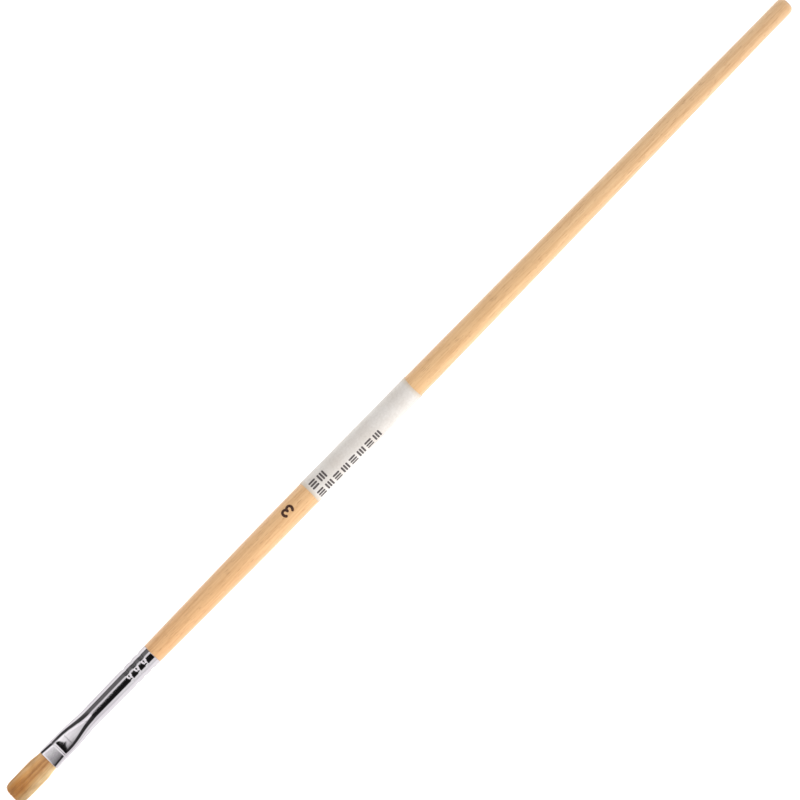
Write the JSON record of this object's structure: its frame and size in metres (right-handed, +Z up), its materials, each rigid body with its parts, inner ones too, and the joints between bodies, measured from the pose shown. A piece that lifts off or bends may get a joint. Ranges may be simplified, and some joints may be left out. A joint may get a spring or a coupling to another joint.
{
  "type": "paint brush",
  "caption": "Long-handled flat paint brush with a turned bare-wood handle, a crimped plated ferrule, a paper label and a flexing bristle tuft.",
  "frame": {"origin": "on the surface the brush lies on, under the middle of its length", "axes": "+X along the handle towards the bristles, +Z up out of a broad face of the ferrule and bristles, Y across their width"},
  "size_m": [0.3, 0.0072, 0.0073],
  "materials": {
    "wood": "fine pale wood under a thin satin varnish",
    "plated_metal": "bright nickel plating, slightly drawn and scuffed",
    "glue": "clear amber glue",
    "cement": "set resin cement",
    "bristle": "natural hog bristle, pale tan, darker at the tips",
    "paper": "off-white coated paper",
    "grey_ink": "dark grey print",
    "brown_ink": "stamped dark brown ink"
  },
  "bodies": {
    "brush": {"handle": "wood", "ferrule": "plated_metal", "tenon_glue": "glue", "root_cement": "cement", "bristle_roots": "bristle", "label": "paper", "label_print": "grey_ink", "size_mark": "brown_ink"},
    "tuft": {"bristle_tuft": "bristle"}
  },
  "joints": [
    {"name": "tuft_flex", "type": "hinge", "parent": "brush", "child": "tuft", "pos_m": [0.1402, 0, 0.00366], "axis": [0, 1, 0], "range_deg": [-35, 35], "stiffness_Nm_per_rad": 0.008}
  ]
}
